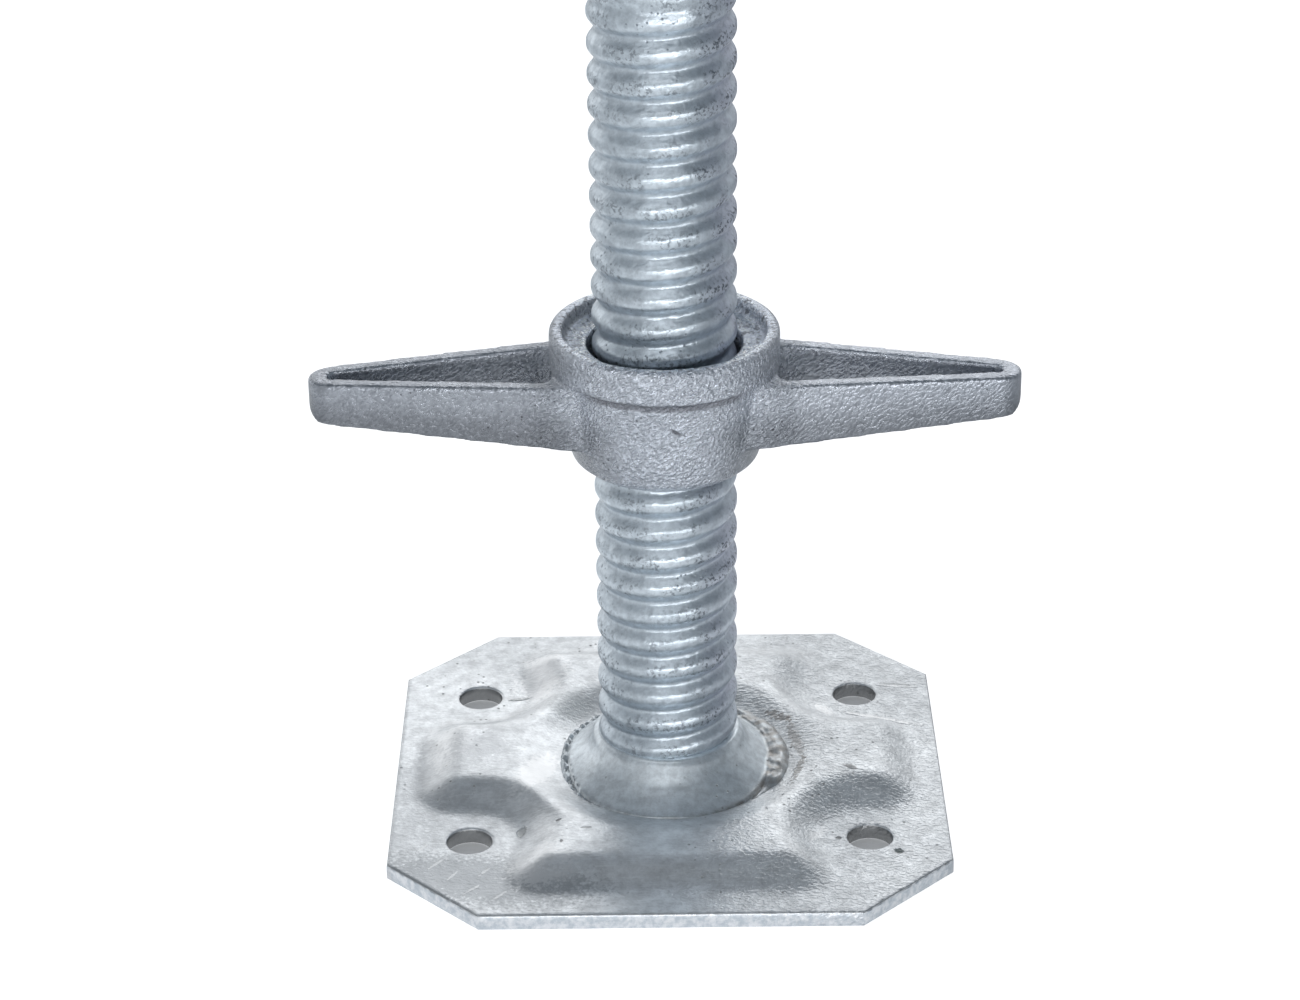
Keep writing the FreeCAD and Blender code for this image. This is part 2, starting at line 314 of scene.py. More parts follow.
class EffectLibrary:
    """Builds each shared shader group once and places it in materials."""

    def __init__(self) -> None:
        """Start with no groups built."""
        self.built: dict[Effect, bpy.types.NodeTree] = {}

    def place(self, t: Tree, effect: Effect, where: Socket,
              values: dict[str, float]) -> bpy.types.bpy_prop_collection:
        """Place an effect's group in a material, building it when first asked for.

        Args:
            t: the material's tree.
            effect: which effect.
            where: the places on the surface.
            values: the group's own numbers, by input name.

        Returns:
            The group's outputs.
        """
        if effect not in self.built:
            maker = {Effect.MOTTLE: self.mottle, Effect.PITS: self.pits,
                     Effect.SCRATCHES: self.scratches, Effect.PEBBLE: self.pebble}[effect]
            self.built[effect] = maker(effect.value)
        node = t.add("ShaderNodeGroup", node_tree=self.built[effect])
        for key, value in {"Vector": where, **values}.items():
            t.put(node.inputs[key], value)
        return node.outputs

    @staticmethod
    def start(name: str, inputs: dict[str, float], outputs: Sequence[str]) -> tuple:
        """An empty group with a vector input, number inputs and number outputs.

        Args:
            name: the group's name.
            inputs: each number input's name and default.
            outputs: the outputs' names.

        Returns:
            The tree helper, the group's inputs and the inputs of its output node.
        """
        tree = bpy.data.node_groups.new(name, "ShaderNodeTree")
        tree.interface.new_socket("Vector", in_out="INPUT", socket_type="NodeSocketVector")
        for key, value in inputs.items():
            socket = tree.interface.new_socket(key, in_out="INPUT", socket_type="NodeSocketFloat")
            socket.default_value = value
        for key in outputs:
            tree.interface.new_socket(key, in_out="OUTPUT", socket_type="NodeSocketFloat")
        helper = Tree(tree)
        return helper, helper.add("NodeGroupInput").outputs, helper.add("NodeGroupOutput").inputs

    def mottle(self, name: str) -> bpy.types.NodeTree:
        """Cloudy light and dark patches of hot-dipped zinc.

        Args:
            name: the group's name.

        Returns:
            The group.
        """
        t, into, out = self.start(name, {"Scale": 40.0, "Contrast": 1.0}, ("Mask", "Fine"))
        big = t.noise(into["Vector"], into["Scale"], detail=4.0, roughness=0.6, distortion=0.6)
        small = t.noise(into["Vector"], t.times(into["Scale"], 9.0), detail=5.0, roughness=0.7)
        both = t.math("ADD", t.times(big, 0.6), t.times(small, 0.4))
        strong = t.times(t.math("SUBTRACT", both, 0.5), t.times(into["Contrast"], 3.0))
        t.put(out["Mask"], t.math("ADD", strong, 0.5, clamped=True))
        t.put(out["Fine"], small)
        return t.tree

    def pits(self, name: str) -> bpy.types.NodeTree:
        """Scattered dark specks and small pits.

        Args:
            name: the group's name.

        Returns:
            The group.
        """
        t, into, out = self.start(name, {"Scale": 600.0, "Amount": 0.3}, ("Mask",))
        cells = t.add("ShaderNodeTexVoronoi", {"Vector": into["Vector"], "Scale": into["Scale"],
                                               "Randomness": 1.0}).outputs
        near = t.fall(cells["Distance"], 0.12, 0.34)
        chance = t.add("ShaderNodeSeparateColor", {0: cells["Color"]}).outputs[0]
        kept = t.math("LESS_THAN", chance, into["Amount"])
        cloud = t.noise(into["Vector"], t.times(into["Scale"], 0.06))
        t.put(out["Mask"], t.times(near, kept, t.remap(cloud, 0.45, 0.62)))
        return t.tree

    def scratches(self, name: str) -> bpy.types.NodeTree:
        """Fine straight scratches in two directions.

        Args:
            name: the group's name.

        Returns:
            The group.
        """
        t, into, out = self.start(name, {"Scale": 120.0, "Amount": 0.5}, ("Mask",))
        parts = []
        for turn, stretch in ((0.5, 22.0), (-0.9, 30.0)):
            placed = t.add("ShaderNodeMapping", {"Vector": into["Vector"],
                                                 "Rotation": (0.1, 0.05, turn),
                                                 "Scale": (1.0, stretch, 1.0)})
            lines = t.noise(placed.outputs[0], into["Scale"], distortion=0.3)
            parts.append(t.remap(lines, 0.61, 0.70))
        t.put(out["Mask"], t.times(t.math("MAXIMUM", *parts), into["Amount"]))
        return t.tree

    def pebble(self, name: str) -> bpy.types.NodeTree:
        """Rippled orange-peel skin of a sand casting under zinc.

        Args:
            name: the group's name.

        Returns:
            The group.
        """
        t, into, out = self.start(name, {"Scale": 500.0, "Stretch": 0.55}, ("Height", "Mask"))
        placed = t.add("ShaderNodeMapping", {"Vector": into["Vector"], "Rotation": (0.2, 0.6, 0.3)})
        sized = t.add("ShaderNodeCombineXYZ", {0: into["Stretch"], 1: 1.0, 2: 1.0})
        drawn = t.add("ShaderNodeVectorMath", {0: placed.outputs[0], 1: sized.outputs[0]},
                      operation="MULTIPLY")
        ripples = t.noise(drawn.outputs[0], into["Scale"], detail=2.2, distortion=0.3)
        grain = t.noise(into["Vector"], t.times(into["Scale"], 2.2), detail=3.0)
        rise = t.remap(ripples, 0.32, 0.68)
        t.put(out["Height"], t.math("ADD", rise, t.times(grain, 0.5)))
        t.put(out["Mask"], t.math("SUBTRACT", 1.0, rise))
        return t.tree


# ---------------------------------------------------------------- finishes

SCRATCH_GAIN = 1.18       # how much brighter than clean zinc a scratch is
PIT_COVER = 0.6           # how strongly dirt covers a pit
PIT_DEPTH = 0.08          # millimetres
PIT_ROUGHNESS = 0.25      # what a pit adds to the roughness
TORN_SCALE = 900.0        # size of the notches in a mark's outline, as a noise scale


@dataclass(frozen=True)
class Mark:
    """A single mark on a surface: a speck, scuff, dent or run, or a patch of painted highlight or
    painted shade. Lengths in millimetres.

    Args:
        at: its middle, as x, y and z.
        half: its half sizes along x, y and z before it is turned.
        turn: its turn in degrees about the axis it faces.
        colour: its colour.
        strength: how strongly the colour covers.
        height: how far it stands up (or, below 0, sinks).
        facing: the axis it faces, "Z" for the plate and "Y" for an upright face.
        ragged: how torn its outline is.
    """

    at: tuple[float, float, float]
    half: tuple[float, float, float]
    turn: float
    colour: Colour
    strength: float
    height: float
    facing: str = "Z"
    ragged: float = 0.9

    def mask(self, t: Tree, where: Socket, torn: Socket) -> Socket:
        """A soft-edged ragged patch.

        Args:
            t: the material's tree.
            where: the places on the surface.
            torn: noise round 0 that tears the outline.

        Returns:
            A mask, 1 inside and 0 outside.
        """
        rotation = [0.0, 0.0, 0.0]
        rotation["XYZ".index(self.facing)] = math.radians(self.turn)
        moved = t.add("ShaderNodeVectorMath", {0: where, 1: tuple(v * MM for v in self.at)},
                      operation="SUBTRACT")
        turned = t.add("ShaderNodeMapping", {"Vector": moved.outputs[0], "Rotation": rotation},
                       vector_type="TEXTURE")
        shrink = tuple(1.0 / (v * MM) for v in self.half)
        sized = t.add("ShaderNodeVectorMath", {0: turned.outputs[0], 1: shrink},
                      operation="MULTIPLY")
        size = t.add("ShaderNodeVectorMath", {0: sized.outputs[0]}, operation="LENGTH")
        reach = t.math("ADD", size.outputs["Value"], t.times(torn, self.ragged))
        return t.fall(reach, 0.6, 1.1)


@dataclass(frozen=True)
class ZincFinish:
    """A hot-dipped zinc surface.

    Args:
        slot: the record's material slot.
        pale: colour of the clean zinc.
        dull: colour of its darker patches.
        dirt: colour of pits and grime.
        patch_scale: size of the patches, as a noise scale.
        contrast: how strongly they show.
        pit_scale: size of the dark specks, as a cell scale.
        pit_amount: share of the cells with a speck.
        scratch_amount: how strongly scratches show.
        grain_height: depth of the fine grain in metres.
        grain_tone: how strongly the fine grain shows in the colour.
        roughness: of the clean zinc and of the dull patches.
        metallic: share of metal.
        pebble_scale: size of the casting's skin, or 0 for none.
        pebble_height: its depth in metres.
        skin_tone: how strongly the casting's skin shows in the colour.
        skin_span: two places across the jack in metres and the skin's strength at each.
        skin_mirrored: whether both sides have the same skin.
        marks: single marks.
    """

    slot: str
    pale: Colour
    dull: Colour
    dirt: Colour
    patch_scale: float
    contrast: float
    pit_scale: float
    pit_amount: float
    scratch_amount: float
    grain_height: float
    grain_tone: float
    roughness: tuple[float, float]
    metallic: float = 0.85
    pebble_scale: float = 0.0
    pebble_height: float = 0.0
    skin_tone: float = 0.0
    skin_span: tuple[float, float, float, float] = (-1.0, 1.0, 1.0, 1.0)
    skin_mirrored: bool = True
    marks: tuple[Mark, ...] = ()

    def skin(self, t: Tree, effects: EffectLibrary, where: Socket) -> tuple[Socket, Socket]:
        """The casting's skin.

        Args:
            t: the material's tree.
            effects: the shared shader groups.
            where: the places on the surface.

        Returns:
            Its height in millimetres and its tone.
        """
        pebble = effects.place(t, Effect.PEBBLE, where, {"Scale": self.pebble_scale})
        across = t.split(where)[0]
        if self.skin_mirrored:
            across = t.math("ABSOLUTE", across)
        depth = t.times(t.remap(across, *self.skin_span), self.pebble_height / MM)
        tone = t.remap(pebble["Mask"], 0.0, 1.0, 1.0 + self.skin_tone, 1.0 - self.skin_tone,
                       smooth=False)
        return t.times(pebble["Height"], depth), tone

    def marked(self, t: Tree, where: Socket, colour: Socket,
               height: Socket) -> tuple[Socket, Socket]:
        """The single marks.

        Args:
            t: the material's tree.
            where: the places on the surface.
            colour: the colour so far.
            height: the height so far.

        Returns:
            The colour and the height with the marks.
        """
        torn = t.math("SUBTRACT", t.noise(where, TORN_SCALE), 0.5)
        for mark in self.marks:
            there = mark.mask(t, where, torn)
            colour = t.mix(t.times(there, mark.strength), colour, mark.colour)
            height = t.math("ADD", height, t.times(there, mark.height))
        return colour, height

    def material(self, effects: EffectLibrary, dressing: Dressing) -> bpy.types.Material:
        """Build the material.

        Args:
            effects: the shared shader groups.
            dressing: adds the piece's own dirt and wear and its painted light and shade, given the
                tree, where and the colour.

        Returns:
            The material.
        """
        made = bpy.data.materials.new(self.slot)
        made.use_nodes = True
        made.node_tree.nodes.clear()
        t = Tree(made.node_tree)
        where = t.add("ShaderNodeTexCoord").outputs["Object"]
        mottle = effects.place(t, Effect.MOTTLE, where,
                               {"Scale": self.patch_scale, "Contrast": self.contrast})
        pits = effects.place(t, Effect.PITS, where,
                             {"Scale": self.pit_scale, "Amount": self.pit_amount})["Mask"]
        lines = effects.place(t, Effect.SCRATCHES, where, {"Amount": self.scratch_amount})["Mask"]
        colour = t.mix(mottle["Mask"], self.dull, self.pale)
        grain = t.remap(mottle["Fine"], 0.3, 0.7, 1.0 - self.grain_tone, 1.0 + self.grain_tone)
        colour = t.scaled(colour, grain)
        colour = t.mix(lines, colour, tuple(min(1.0, c * SCRATCH_GAIN) for c in self.pale))
        colour = t.mix(t.times(pits, PIT_COVER), colour, self.dirt)
        height = t.math("SUBTRACT", t.times(mottle["Fine"], self.grain_height / MM),
                        t.times(pits, PIT_DEPTH))
        if self.pebble_scale:
            rise, tone = self.skin(t, effects, where)
            height = t.math("ADD", height, rise)
            colour = t.scaled(colour, tone)
        if self.marks:
            colour, height = self.marked(t, where, colour, height)
        colour = dressing(t, where, colour)
        shine, dullness = self.roughness
        rough = t.math("ADD", t.remap(mottle["Mask"], 0.0, 1.0, dullness, shine),
                       t.times(pits, PIT_ROUGHNESS), clamped=True)
        bump = t.add("ShaderNodeBump", {"Height": height, "Strength": 1.0, "Distance": MM})
        shader = t.add("ShaderNodeBsdfPrincipled",
                       {"Base Color": colour, "Roughness": rough, "Metallic": self.metallic,
                        "Normal": bump.outputs[0]})
        t.add("ShaderNodeOutputMaterial", {"Surface": shader.outputs[0]})
        return made


GRIME: Colour = (0.13, 0.13, 0.13)
# bare zinc: the colour of real runs, scuffs and strokes, and also of some painted highlights
BARE_AND_HIGHLIGHT: Colour = (0.86, 0.87, 0.88)
# pale colour of painted highlights: glare and glints laid on the plate as pale patches
PAINTED_HIGHLIGHT: Colour = (0.95, 0.96, 0.97)

PLATE_MARKS = (
    Mark((60.8, -45.8, 4.5), (1.3, 1.5, 3.0), 20.0, (0.05, 0.07, 0.07), 0.9, -0.35),
    Mark((45.1, -39.0, 4.5), (0.9, 0.7, 3.0), 0.0, GRIME, 0.8, -0.2),
    Mark((49.7, -10.8, 10.0), (2.6, 1.0, 3.0), -35.0, GRIME, 0.7, 0.1),
    Mark((66.0, 42.6, 4.5), (6.2, 0.7, 3.0), -8.0, BARE_AND_HIGHLIGHT, 0.7, 0.35),
    Mark((66.0, 43.8, 4.5), (5.6, 0.5, 3.0), -8.0, (0.3, 0.31, 0.32), 0.5, 0.0),
    # a raised run of dross; its dark colour is partly the dross and partly a painted shadow beside
    # it
    Mark((-42.3, 37.3, 5.0), (3.6, 0.8, 3.0), 8.0, (0.26, 0.28, 0.28), 0.6, 0.2),
    Mark((-51.0, 21.4, 7.0), (7.0, 0.5, 5.0), 5.0, (0.32, 0.34, 0.34), 0.5, -0.15),
    Mark((-39.7, -35.0, 5.0), (1.3, 2.6, 3.0), -15.0, (0.34, 0.35, 0.35), 0.6, -0.35),
    Mark((-29.7, -36.2, 10.0), (1.0, 0.6, 3.0), 20.0, GRIME, 0.75, -0.1),
    Mark((-28.7, -47.2, 10.0), (0.5, 0.9, 3.0), 0.0, GRIME, 0.75, -0.1),
    Mark((-22.2, -40.9, 10.0), (1.6, 0.5, 3.0), 0.0, GRIME, 0.5, -0.05),
    Mark((35.5, 7.0, 9.0), (1.5, 11.0, 5.0), 10.0, (0.15, 0.12, 0.10), 0.4, 0.05, ragged=2.4),
    Mark((35.5, -9.0, 9.0), (1.2, 8.0, 5.0), -16.0, (0.16, 0.14, 0.12), 0.55, 0.1, ragged=3.2),
    Mark((31.0, 20.0, 9.0), (5.0, 1.5, 5.0), -40.0, (0.15, 0.12, 0.10), 0.55, 0.0, ragged=3.0),
    # painted shade: grey patch darkening the front-left slope and rim
    Mark((-50.0, -58.0, 5.0), (34.0, 13.0, 5.0), -12.0, (0.42, 0.44, 0.46), 0.85, 0.0, ragged=1.5),
    # painted highlight: glare on the dish's left rim
    Mark((-36.0, -9.0, 8.5), (5.0, 15.0, 5.0), -22.0, PAINTED_HIGHLIGHT, 0.7, 0.0, ragged=1.2),
    # painted shade: grey band on the left lobe's end slope
    Mark((-66.0, -12.0, 5.0), (9.0, 24.0, 5.0), 0.0, (0.50, 0.52, 0.54), 0.4, 0.0, ragged=2.0),
    # painted highlight on the left lobe
    Mark((-60.0, 4.0, 8.0), (7.0, 13.0, 5.0), 0.0, PAINTED_HIGHLIGHT, 0.4, 0.0, ragged=1.6),
    # painted highlights: pale patches at the back-left and the front-left
    Mark((-37.0, 46.0, 8.0), (10.0, 15.0, 6.0), 0.0, PAINTED_HIGHLIGHT, 0.6, 0.0, ragged=1.6),
    Mark((-35.0, -55.0, 8.0), (11.0, 10.0, 6.0), 0.0, PAINTED_HIGHLIGHT, 0.5, 0.0, ragged=1.6),
    # painted shade: grey patch on the left lobe
    Mark((-52.0, 2.0, 9.0), (11.0, 9.0, 5.0), 0.0, (0.58, 0.60, 0.62), 0.6, 0.0, ragged=2.0),
    # painted shade: the dish's back-left wall darkened
    Mark((-27.0, 26.0, 8.0), (9.0, 6.0, 6.0), -40.0, (0.52, 0.545, 0.56), 0.6, 0.0, ragged=1.5),
    # painted highlights: pale glints along the right bays' edges and on the lip above a hole; the
    # line and the lip also stand up a little
    Mark((60.0, 24.2, 5.5), (13.5, 1.0, 4.0), -21.0, (0.97, 0.98, 0.99), 0.8, 0.25, ragged=1.2),
    Mark((44.3, 29.8, 6.5), (2.2, 4.8, 5.0), 30.0, PAINTED_HIGHLIGHT, 0.7, 0.0, ragged=1.2),
    Mark((55.0, -31.5, 4.5), (5.0, 0.8, 3.0), 0.0, BARE_AND_HIGHLIGHT, 0.6, 0.1, ragged=1.2),
    Mark((39.5, -37.5, 5.5), (1.6, 5.5, 4.0), -30.0, BARE_AND_HIGHLIGHT, 0.5, 0.0, ragged=1.4),
)
STROKES = tuple(
    Mark((x, y, 4.5), (length, 0.5, 3.0), turn, BARE_AND_HIGHLIGHT, 0.45, 0.04, ragged=1.6)
    for x, y, length, turn in (
        (-62.0, -50.0, 4.0, 52.0), (-57.5, -56.0, 3.0, 60.0), (-52.0, -62.5, 3.5, 48.0),
        (-49.0, -54.0, 2.5, 55.0), (-45.0, -66.0, 3.0, 50.0), (-40.0, -63.0, 2.0, 65.0),
        (-66.0, -42.0, 3.0, 58.0)))
NUT_SLIT = Mark((2.7, -27.3, 119.2), (1.9, 3.0, 0.5), 35.0, (0.14, 0.14, 0.16), 0.75, -0.3, "Y")

PLATE_ZINC = ZincFinish(
    slot="plate_zinc", pale=(0.78, 0.805, 0.825), dull=(0.60, 0.62, 0.64), dirt=GRIME,
    patch_scale=24.0, contrast=0.8, pit_scale=620.0, pit_amount=0.12, scratch_amount=0.35,
    grain_height=0.00006, grain_tone=0.12, roughness=(0.32, 0.43),
    pebble_scale=1100.0, pebble_height=0.00012, skin_tone=0.05,
    skin_span=(-0.01, 0.05, 0.25, 1.0), skin_mirrored=False, marks=PLATE_MARKS + STROKES)
WELD_ZINC = ZincFinish(
    slot="weld_zinc", pale=(0.74, 0.80, 0.84), dull=(0.64, 0.69, 0.73), dirt=(0.08, 0.08, 0.08),
    patch_scale=40.0, contrast=0.8, pit_scale=700.0, pit_amount=0.1, scratch_amount=0.2,
    grain_height=0.00008, grain_tone=0.16, roughness=(0.34, 0.45))
SPINDLE_ZINC = ZincFinish(
    slot="spindle_zinc", pale=(0.68, 0.745, 0.80), dull=(0.50, 0.57, 0.63), dirt=(0.08, 0.10, 0.13),
    patch_scale=45.0, contrast=0.65, pit_scale=800.0, pit_amount=0.35, scratch_amount=0.15,
    grain_height=0.00005, grain_tone=0.15, roughness=(0.32, 0.43),
    pebble_scale=420.0, pebble_height=0.00008)
CAST_ZINC = ZincFinish(
    slot="cast_nut", pale=(0.62, 0.66, 0.725), dull=(0.53, 0.565, 0.63), dirt=(0.05, 0.05, 0.06),
    patch_scale=40.0, contrast=0.9, pit_scale=800.0, pit_amount=0.25, scratch_amount=0.1,
    grain_height=0.00004, grain_tone=0.08, roughness=(0.24, 0.31),
    pebble_scale=1350.0, pebble_height=0.00033, skin_tone=0.12,
    skin_span=(0.029, 0.040, 1.0, 0.3), marks=(NUT_SLIT,))


# ---------------------------------------------------------------- foot plate

Plan = list[tuple[float, float]]

CUT_BAND = 0.5            # millimetres from a cut within which its bare look shows
HOLE_MARGIN = 3.0         # millimetres from a rim that still belong to the hole
UNDER_EDGE = 0.6          # the lower edge's rounding against the upper's


@dataclass
class FootPlate:
    """The pressed sheet under the jack. Lengths in millimetres.

    Args:
        half: half its width.
        clip: what each corner's cut takes off a side.
        sheet: its thickness.
        rise: how far the cross is pressed up.
        wave: how much the pressed cross falls short here and there.
        rim_x: width of the flat rim left and right.
        rim_y: width of the flat rim in front and behind.
        slope: where the slope begins and ends, as depths inside the cross's foot.
        hole: middle of a nail hole.
        hole_radius: its radius.
        bay_radius: radius of the flat bay round it.
        lobe_corner: rounding of the lobes' corners.
        lobe_flare: degrees by which the lobes widen outwards.
        dish: radii between which the middle sinks.
        dish_depth: how far it sinks.
        drain_radius: radius of the drain.
        edge: rounding of the cut edges.
        grid: distance between points.
        ring_steps: distances from a cut at which rings of points lie.
        round_steps: points in a ring round a hole.
    """

    half: float = 75.0
    clip: float = 25.0
    sheet: float = 4.5
    rise: float = 5.5
    wave: float = 0.25
    rim_x: float = 7.0
    rim_y: float = 11.0
    slope: tuple[float, float] = (-3.8, 13.2)
    hole: tuple[float, float] = (53.5, 38.5)
    hole_radius: float = 6.0
    bay_radius: float = 14.5
    lobe_corner: float = 12.0
    lobe_flare: float = 14.0
    dish: tuple[float, float] = (28.5, 44.0)
    dish_depth: float = 3.5
    drain_radius: float = 10.0
    edge: float = 0.7
    grid: float = 1.25
    ring_steps: tuple[float, ...] = (0.0, 0.12, 0.35, 0.7, 1.5, 2.6)
    round_steps: int = 56

    def inside_cross(self, x: float, y: float) -> float:
        """How far a plan point lies inside the foot of the pressed cross.

        Args:
            x: its place across.
            y: its place in depth.

        Returns:
            The distance, negative outside.
        """
        ax, ay = abs(x), abs(y)
        hx, hy = self.hole
        ends = min(self.half - self.rim_x - ax, self.half - self.rim_y - ay)
        dx, dy = hx - ax, ay - hy
        flare = math.radians(self.lobe_flare)
        if dx < 0:
            bay = -dy - self.bay_radius
        elif math.atan2(dy, dx) < flare:
            bay = math.hypot(dx, dy) - self.bay_radius
        else:
            bay = dx * math.cos(flare) + dy * math.sin(flare) - self.bay_radius
        u, v = self.lobe_corner - ends, self.lobe_corner - bay
        return self.lobe_corner - (math.hypot(max(u, 0.0), max(v, 0.0)) + min(max(u, v), 0.0))

    def lift(self, x: float, y: float) -> float:
        """Height of the sheet's underside over the ground.

        Args:
            x: the plan point's place across.
            y: its place in depth.

        Returns:
            The height.
        """
        start, end = self.slope
        share = (self.inside_cross(x, y) - start) / (end - start)
        inner, outer = self.dish
        sink = 1.0 - ease((math.hypot(x, y) - inner) / (outer - inner))
        full = self.rise + ripple(x, y, 3.0, 0.045) * self.wave - self.wave
        return max(0.0, full * soft(share) - self.dish_depth * sink)

    def from_outline(self, x: float, y: float) -> float:
        """Distance from a plan point to the outline, negative outside it."""
        corner = (2 * self.half - self.clip - abs(x) - abs(y)) * math.sqrt(0.5)
        return min(self.half - abs(x), self.half - abs(y), corner)

    def from_hole(self, x: float, y: float) -> float:
        """Distance from a plan point to the nearest nail hole's rim, negative inside it."""
        return math.hypot(abs(x) - self.hole[0], abs(y) - self.hole[1]) - self.hole_radius

    def from_drain(self, x: float, y: float) -> float:
        """Distance from a plan point to the drain's rim, negative inside it."""
        return math.hypot(x, y) - self.drain_radius

    def edge_distance(self, x: float, y: float) -> float:
        """Distance from a plan point to the nearest cut edge."""
        return min(self.from_outline(x, y), abs(self.from_hole(x, y)), abs(self.from_drain(x, y)))

    def cut_share(self, x: float, y: float) -> float:
        """How near a plan point is to a cut edge.

        Args:
            x: its place across.
            y: its place in depth.

        Returns:
            The nearness, up to 1 at the cut, negative beside the holes and the drain.
        """
        near = clamp(1.0 - self.edge_distance(x, y) / CUT_BAND)
        inner = min(self.from_hole(x, y), self.from_drain(x, y)) < HOLE_MARGIN
        return -near if inner else near

    def rounding(self, distance: float) -> float:
        """How far the broken edge falls below the face.

        Args:
            distance: how far the place is from the cut.

        Returns:
            The fall.
        """
        if distance >= self.edge:
            return 0.0
        return self.edge - math.sqrt(max(0.0, self.edge ** 2 - (self.edge - distance) ** 2))

    def outline(self, inset: float) -> Plan:
        """Points round the clipped square.

        Args:
            inset: how far inside the outline they lie.

        Returns:
            The ring of points.
        """
        a = self.half - inset
        b = a - self.clip - inset * (math.sqrt(2.0) - 2.0)
        corners = [(a, -b), (a, b), (b, a), (-b, a), (-a, b), (-a, -b), (-b, -a), (b, -a)]
        ring = []
        for (x0, y0), (x1, y1) in zip(corners, corners[1:] + corners[:1]):
            count = max(1, round(math.hypot(x1 - x0, y1 - y0) / self.grid))
            ring += [(x0 + (x1 - x0) * i / count, y0 + (y1 - y0) * i / count)
                     for i in range(count)]
        return ring

    def rings(self) -> list[Plan]:
        """Closed rings of points beside every cut.

        Returns:
            The rings beside the outline, round the nail holes and round the drain.
        """
        rings = [self.outline(inset) for inset in self.ring_steps]
        hx, hy = self.hole
        centres = [(sx * hx, sy * hy, self.hole_radius) for sx in (-1, 1) for sy in (-1, 1)]
        angles = [2 * math.pi * i / self.round_steps for i in range(self.round_steps)]
        for cx, cy, radius in centres + [(0.0, 0.0, self.drain_radius)]:
            rings += [[(cx + (radius + out) * math.cos(a), cy + (radius + out) * math.sin(a))
                       for a in angles] for out in self.ring_steps]
        return rings

    def plan(self) -> tuple[list[Vector], list[tuple[int, ...]]]:
        """Flat triangles of the plate's plan, holes left open.

        Returns:
            The plan points and the triangles.
        """
        points, edges = [], []
        for ring in self.rings():
            start, count = len(points), len(ring)
            points += ring
            edges += [(start + i, start + (i + 1) % count) for i in range(count)]
        keep = self.ring_steps[-1] + self.grid * 0.5
        count = round(2 * self.half / self.grid)
        for i in range(count + 1):
            for j in range(count + 1):
                x = -self.half + i * self.grid + (0.5 * self.grid if j % 2 else 0.0)
                y = -self.half + j * self.grid
                if min(self.from_outline(x, y), self.from_hole(x, y), self.from_drain(x, y)) > keep:
                    points.append((x, y))
        found = delaunay_2d_cdt([Vector(p) for p in points], edges, [], 0, 1e-5)
        places, faces = found[0], found[2]
        kept = []
        for face in faces:
            x, y = (sum(places[i][axis] for i in face) / 3 for axis in (0, 1))
            if self.from_hole(x, y) >= 0.0 and self.from_drain(x, y) > 0.0:
                kept.append(tuple(face))
        return places, kept

    @staticmethod
    def cut_edges(t: Tree, where: Socket, colour: Socket) -> Socket:
        """Streaked bright outer edges under a thin dark line, and painted shade darkening the walls
        of the holes.

        Args:
            t: the material's tree.
            where: the places on the surface.
            colour: the colour so far.

        Returns:
            The colour with the edges.
        """
        cut = t.attribute("cut")
        streaks = t.noise(where, 520.0, detail=4.0, roughness=0.6)
        # bright outer cut, then the dark line above it, then the painted shade in the walls of the
        # holes
        tone = t.mix(t.remap(streaks, 0.35, 0.65), (0.52, 0.57, 0.62), (0.76, 0.78, 0.81))
        colour = t.mix(t.remap(cut, 0.75, 0.95), colour, tone)
        line = t.times(t.remap(cut, 0.3, 0.5), t.fall(cut, 0.6, 0.8), 0.55)
        colour = t.mix(line, colour, (0.2, 0.21, 0.22))
        # painted shade: the walls of the holes darkened
        wall = t.remap(t.times(cut, -1.0), 0.6, 0.9, 0.0, 0.85)
        return t.mix(wall, colour, (0.17, 0.175, 0.18))

    def build(self, material: bpy.types.Material) -> bpy.types.Object:
        """Make the plate's mesh and dress it.

        Args:
            material: its finish.

        Returns:
            The plate.
        """
        places, faces = self.plan()
        count = len(places)
        over, under = [], []
        for x, y in places:
            fall, lift = self.rounding(self.edge_distance(x, y)), self.lift(x, y)
            over.append((x * MM, y * MM, (lift + self.sheet - fall) * MM))
            under.append((x * MM, y * MM, (lift + fall * UNDER_EDGE) * MM))
        solid = list(faces) + [tuple(count + i for i in reversed(face)) for face in faces]
        sides = dict.fromkeys(side for face in faces for side in zip(face, face[1:] + face[:1]))
        solid += [(b, a, count + a, count + b) for a, b in sides if (b, a) not in sides]
        mesh = mesh_from("pressed_plate", over + under, solid)
        store(mesh, "cut", [self.cut_share(x, y) for x, y in places] * 2)
        mesh.materials.append(material)
        return new_object("pressed_plate", mesh)


# ---------------------------------------------------------------- weld

